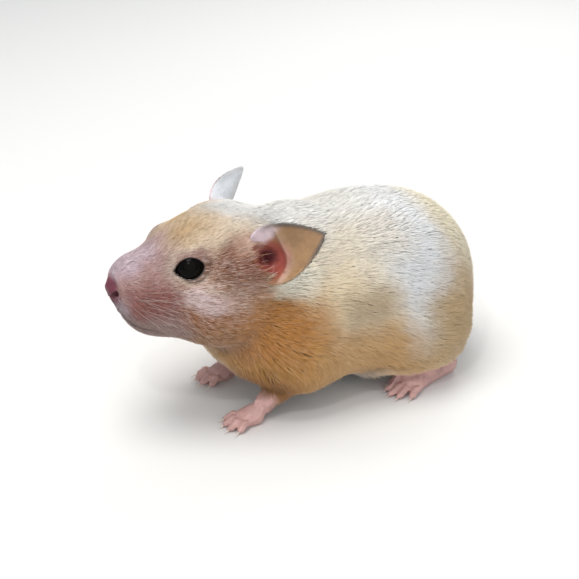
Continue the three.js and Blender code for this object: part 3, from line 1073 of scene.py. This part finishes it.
def addNode(tree, kind, settings=None, **inputs):
    node = tree.nodes.new("ShaderNode" + kind)
    for name, value in (settings or {}).items():
        setattr(node, name, value)
    for name, value in inputs.items():
        socket = node.inputs[int(name[1:])] if name[0] == "i" and name[1:].isdigit() else node.inputs[name]
        if isinstance(value, bpy.types.NodeSocket):
            tree.links.new(value, socket)
        else:
            socket.default_value = value
    return node


def vectorNode(tree, operation, first, second=(0, 0, 0)):
    return addNode(tree, "VectorMath", {"operation": operation}, i0=first, i1=second).outputs[0]


def mixColour(tree, share, first, second, blend="MIX"):
    first, second = [(*colour, 1) if isinstance(colour, tuple) else colour for colour in (first, second)]
    settings = {"data_type": "RGBA", "blend_type": blend}
    return addNode(tree, "Mix", settings, i0=share, i6=first, i7=second).outputs[2]


# Soft patches of colour, each an egg with a soft edge, laid over one another in this order.
# "body" places are in the frame, "head" ones in the head's axes, and "oneSide" ones aren't mirrored.
markings = {
    "base": (0.74, 0.60, 0.42),
    "patches": [
        ("body", (2, 0, 49), (46, 17, 15), 0.5, (0.80, 0.79, 0.74)),  # back
        ("body", (2, 17, 33), (14, 9, 9), 0.5, (0.90, 0.80, 0.63)),  # flank
        ("body", (-6, 17, 28), (8, 9, 6), 0.6, (0.96, 0.79, 0.53)),  # shoulder
        ("body", (2, 20, 12), (22, 12, 9), 0.55, (0.60, 0.36, 0.15)),  # lower flank
        ("body", (16.5, 17, 33), (8, 24, 17), 0.5, (0.85, 0.86, 0.86)),  # band
        ("body", (10, 13, 38), (6, 6, 5), 0.6, (0.79, 0.74, 0.65)),  # above the band
        ("body", (2, 18, 25.5), (6.5, 5, 4), 0.6, (0.56, 0.43, 0.27)),  # middle of the flank
        ("body", (33, 0, 37), (10, 20, 11), 0.5, (0.86, 0.77, 0.56)),  # rump
        ("body", (29, 20, 17), (13, 9, 11), 0.55, (0.53, 0.37, 0.19)),  # haunch
        ("body", (42, 0, 12), (6, 14, 12), 0.5, (0.58, 0.45, 0.29)),  # under the tail
        ("body", (6, 0, 3), (34, 15, 7), 0.5, (0.84, 0.79, 0.72)),  # belly
        ("body", (-18, 12, 17), (13, 12, 10), 0.55, (0.52, 0.26, 0.07)),  # breast
        # between the forelegs: a darker patch over the breast's gold, painted shade
        ("body", (-16, 9, 8), (9, 8, 6), 0.5, (0.28, 0.12, 0.03)),  # between the forelegs
        ("head", (15, 0, 9), (10, 12, 6), 0.5, (0.74, 0.73, 0.70)),  # crown
        ("oneSide", (7, -8.5, 9), (11, 6.5, 6), 0.6, (0.76, 0.62, 0.46)),  # far side of the crown
        ("head", (5.5, 9, 4.4), (5.5, 4, 3), 0.8, (0.72, 0.59, 0.44)),  # temple
        ("head", (-2, 2.5, 6.5), (7, 5, 5), 0.85, (0.55, 0.375, 0.20)),  # forehead
        # muzzle: its own mauve-brown, darkened further for the shade on the sides of the muzzle, so partly
        # painted shade
        ("head", (-10, 0, -3), (9, 9, 10), 0.5, (0.38, 0.22, 0.21)),  # muzzle
        ("head", (3, 12, -12), (12, 9, 8.5), 0.45, (0.36, 0.15, 0.060)),  # cheek
        ("head", (5, 10, -15.5), (11, 9, 5), 0.45, (0.36, 0.17, 0.06)),  # throat
        ("head", (-11.5, 0, 0.5), (6.5, 4.0, 4), 0.5, (0.50, 0.38, 0.42)),  # bridge of the nose
        # whisker pads: their own brown, darkened further for the shade on the sides of the muzzle, so partly
        # painted shade
        ("head", (-8.5, 6.5, -8), (8, 5, 5.5), 0.5, (0.25, 0.08, 0.068)),  # whisker pads
        ("head", (-13.5, 0, -8), (3.6, 4.5, 3.6), 0.5, (0.36, 0.28, 0.31)),  # under the nose
        ("head", (-8, 4, -12), (8, 7, 4.5), 0.45, (0.32, 0.21, 0.19)),  # chin
        ("head", (0.5, 12, -4.9), (6, 5, 2.6), 0.5, (0.64, 0.48, 0.47)),  # below the eye
        ("head", (8, 13, -5.6), (6, 6, 3.2), 0.55, (0.50, 0.32, 0.24)),  # back of the cheek
        ("head", (6, 12, 1.0), (6, 5, 4.5), 0.55, (0.25, 0.11, 0.06)),  # behind the eye
        ("head", (10.5, 13, 1), (4.2, 6, 5.5), 0.5, (0.28, 0.095, 0.042)),  # before the ear
        ("head", (10, 12, 5), (4, 4, 3), 0.6, (0.50, 0.32, 0.24)),  # above the ear's front edge
        ("head", (14.5, 14, -13), (9.5, 8, 7), 0.6, (0.53, 0.225, 0.05)),  # side of the neck
        # behind the ear: a pale patch, brightened to make up for the ear's shadow on it, so partly painted
        # light
        ("head", (19, 14, -4.4), (4.8, 6, 2.8), 0.7, (1.0, 0.94, 0.78)),  # behind the ear
        ("head", (-0.8, 9.4, 1.0), (3.6, 4.3, 3.2), 0.3, (0.34, 0.20, 0.16)),  # round the eye
    ],
}


def addMarkings(tree, coordinates, patches, base):
    wobble = cloudOf(tree, coordinates, 190.0, 3.0).outputs["Color"]
    wobble = vectorNode(tree, "SUBTRACT", wobble, (0.5, 0.5, 0.5))
    wobble = addNode(tree, "VectorMath", {"operation": "SCALE"}, i0=wobble, Scale=0.007).outputs[0]
    soft = vectorNode(tree, "ADD", coordinates, wobble)
    headSpot = addNode(tree, "Mapping", {"vector_type": "TEXTURE"}, Vector=soft,
                       Location=tuple(headMiddle * mm), Rotation=(0, 0, headTurn)).outputs[0]
    spots = {"oneSide": headSpot}
    for name, vector in (("body", soft), ("head", headSpot)):
        mirror = vectorNode(tree, "ABSOLUTE", vector)
        keep = vectorNode(tree, "MULTIPLY", vector, (1, 0, 1))
        fold = vectorNode(tree, "MULTIPLY", mirror, (0, 1, 0))
        spots[name] = vectorNode(tree, "ADD", keep, fold)
    colour = base
    for where, place, size, edge, patch in patches:
        vector = vectorNode(tree, "SUBTRACT", spots[where], tuple(value * mm for value in place))
        vector = vectorNode(tree, "DIVIDE", vector, tuple(value * mm for value in size))
        reach = addNode(tree, "VectorMath", {"operation": "LENGTH"}, i0=vector).outputs["Value"]
        ramp = addNode(tree, "MapRange", {"interpolation_type": "SMOOTHSTEP"}, Value=reach,
                       **{"From Min": 1 + edge, "From Max": 1 - edge, "To Min": 0.0, "To Max": 1.0})
        colour = mixColour(tree, ramp.outputs[0], colour, patch)
    return colour


def cloudOf(tree, place, scale, detail):
    return addNode(tree, "TexNoise", None, Vector=place, Scale=scale, Detail=detail)


def brightened(tree, colour, factor):
    grey = addNode(tree, "CombineColor", None, Red=factor, Green=factor, Blue=factor).outputs[0]
    return mixColour(tree, 1.0, colour, grey, "MULTIPLY")


def addPaint(tree, colour):
    shares = []
    for number in range(3):
        vector = addNode(tree, "Attribute", {"attribute_name": f"paint{number}"}).outputs["Vector"]
        shares += list(addNode(tree, "SeparateXYZ", None, Vector=vector).outputs)
    for share, paint in zip(shares, paints.values()):
        colour = mixColour(tree, share, colour, paint)
    return colour


def ranged(tree, value, low, high, first, last):
    return addNode(tree, "MapRange", None, Value=value, **{"From Min": low, "From Max": high,
                                                           "To Min": first, "To Max": last}).outputs[0]


def coatMaterial():
    material, tree, shader = newMaterial("coat")
    root = addNode(tree, "Attribute", {"attribute_name": "root"}).outputs["Vector"]
    strand = addNode(tree, "Attribute", {"attribute_name": "strand"}).outputs["Vector"]
    along, own, clump = addNode(tree, "SeparateXYZ", None, Vector=strand).outputs
    colour = addMarkings(tree, root, markings["patches"], markings["base"])
    colour = mixColour(tree, ranged(tree, own, 0.5, 1.0, 0.0, 0.36), colour, (0.80, 0.68, 0.62))
    colour = mixColour(tree, ranged(tree, own, 0.5, 0.0, 0.0, 1.0), colour, (0.62, 0.52, 0.46), "MULTIPLY")
    colour = addPaint(tree, colour)
    # each tuft grows darker towards its root: painted shade between the tufts; each clump is also a little
    # lighter or darker at random
    shades = [ranged(tree, along, 0.0, 0.8, 0.92, 1.02), ranged(tree, clump, 0.0, 1.0, 0.94, 1.06)]
    shade = addNode(tree, "Math", {"operation": "MULTIPLY"}, i0=shades[0], i1=shades[1]).outputs[0]
    tree.links.new(brightened(tree, colour, shade), shader.inputs["Base Color"])
    shader.inputs["Roughness"].default_value = 0.62
    shader.inputs["Specular IOR Level"].default_value = 0.3
    shader.inputs["Sheen Weight"].default_value = 0.18
    shader.inputs["Sheen Roughness"].default_value = 0.5
    return material


def skinMaterial():
    material, tree, shader = newMaterial("skin")
    place = addNode(tree, "TexCoord").outputs["Object"]
    colour = addPaint(tree, addMarkings(tree, place, markings["patches"], markings["base"]))
    cloud = cloudOf(tree, place, 330.0, 3.0).outputs[0]
    colour = brightened(tree, colour, ranged(tree, cloud, 0.3, 0.7, 0.86, 1.1))
    fine = cloudOf(tree, place, 900.0, 5.0).outputs[0]
    colour = brightened(tree, colour, ranged(tree, fine, 0.3, 0.7, 0.85, 1.0))
    tree.links.new(colour, shader.inputs["Base Color"])
    shader.inputs["Roughness"].default_value = 0.55
    bump = addNode(tree, "Bump", None, Height=fine, Strength=0.3, Distance=0.0002)
    tree.links.new(bump.outputs[0], shader.inputs["Normal"])
    return material


# A clouded or streaked colour between two tones.
def twoToneMaterial(name, scale, detail, dark, light, roughness):
    material, tree, shader = newMaterial(name)
    place = addNode(tree, "TexCoord").outputs["Object"]
    cloud = cloudOf(tree, place, scale, detail).outputs[0]
    tree.links.new(mixColour(tree, cloud, dark, light), shader.inputs["Base Color"])
    shader.inputs["Roughness"].default_value = roughness
    return material


def eyeMaterial():
    material = twoToneMaterial("eye", 400.0, 2.0, (0.0012, 0.001, 0.001), (0.003, 0.002, 0.0015), 0.06)
    shader = material.node_tree.nodes["Principled BSDF"]
    shader.inputs["IOR"].default_value = 1.38
    shader.inputs["Specular IOR Level"].default_value = 0.11
    return material


clawMaterial = twoToneMaterial("claw", 1500.0, 3.0, (0.62, 0.50, 0.42), (0.80, 0.70, 0.60), 0.35)
whiskerMaterial = twoToneMaterial("whisker", 120.0, 2.0, (0.24, 0.18, 0.15), (0.50, 0.43, 0.38), 0.4)


def dress(pieces, material):
    for piece in pieces:
        piece.data.materials.clear()
        piece.data.materials.append(material)
        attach(piece, "root")


dress([skin], skinMaterial())
dress(coats, coatMaterial())
dress(eyeballs, eyeMaterial())
dress([claws], clawMaterial)
dress([whiskers], whiskerMaterial)
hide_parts(*[node for node in skinShape["body"] if not node.startswith("eye")],
            *skinShape["bare"], *skinShape["ears"])
for eyeball, name in zip(eyeballs, ("left", "right")):
    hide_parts("eye_" + name)
print("materials set")

# ---- floor, light and camera ----

studio = {
    "azimuth": -32, "elevation": 26, "distance": 330, "focus": (-1.14, 0, 22),
    "aim": (-2.3, 0.56),  # from the focus, to the picture's right and up
    "focal": 1485 / 579,  # in widths of the picture
    "sensor": 36,
    "world": (0.90, 0.95, 1.0), "worldStrength": 0.56,
    "lampAim": (0, 0, 20),
}


def addStudio():
    bpy.ops.mesh.primitive_plane_add(size=1.6)
    floor = bpy.context.active_object
    floor.name = "floor"
    material, tree, shader = newMaterial("floor")
    shader.inputs["Base Color"].default_value = (0.78, 0.77, 0.75, 1)
    shader.inputs["Roughness"].default_value = 0.9
    floor.data.materials.append(material)

    azimuth, elevation = math.radians(studio["azimuth"]), math.radians(studio["elevation"])
    right = np.array([math.cos(azimuth), math.sin(azimuth), 0])
    away = np.array([math.sin(azimuth), -math.cos(azimuth), 0])
    back = away * math.cos(elevation) + np.array([0, 0, math.sin(elevation)])
    up = np.cross(back, right)
    place = np.array(studio["focus"]) + back * studio["distance"]
    target = np.array(studio["focus"]) + right * studio["aim"][0] + up * studio["aim"][1]
    bpy.ops.object.camera_add(location=place * mm)
    camera = bpy.context.active_object
    camera.rotation_euler = Vector((target - place)).to_track_quat("-Z", "Y").to_euler()
    camera.data.sensor_width = studio["sensor"]
    camera.data.lens = studio["sensor"] * studio["focal"]
    camera.data.clip_start = 0.01
    bpy.context.scene.camera = camera

    world = bpy.data.worlds.new("studio")
    world.use_nodes = True
    background = world.node_tree.nodes["Background"]
    background.inputs[0].default_value = (*studio["world"], 1)
    background.inputs[1].default_value = studio["worldStrength"]
    bpy.context.scene.world = world

    lamps = {  # place, size, power and colour of each soft box
        "key": ((-85, 10, 420), 0.26, 1.08, (1.0, 0.98, 0.95)),
        "spark": ((-190, -180, 350), 0.028, 0.2, (1.0, 1.0, 1.0)),
        "fill": ((-160, -300, 240), 0.7, 0.75, (0.97, 0.98, 1.0)),
        "rim": ((260, 220, 260), 0.25, 0.5, (1.0, 0.98, 0.95)),
    }
    for name, (where, size, power, colour) in lamps.items():
        bpy.ops.object.light_add(type="AREA", location=np.array(where) * mm)
        lamp = bpy.context.active_object
        lamp.name = name
        lamp.data.shape = "DISK"
        lamp.data.size = size
        lamp.data.energy = power
        lamp.data.color = colour
        aim = Vector(np.array(studio["lampAim"]) * mm) - lamp.location
        lamp.rotation_euler = aim.to_track_quat("-Z", "Y").to_euler()


addStudio()
bpy.context.scene.view_settings.view_transform = "Standard"
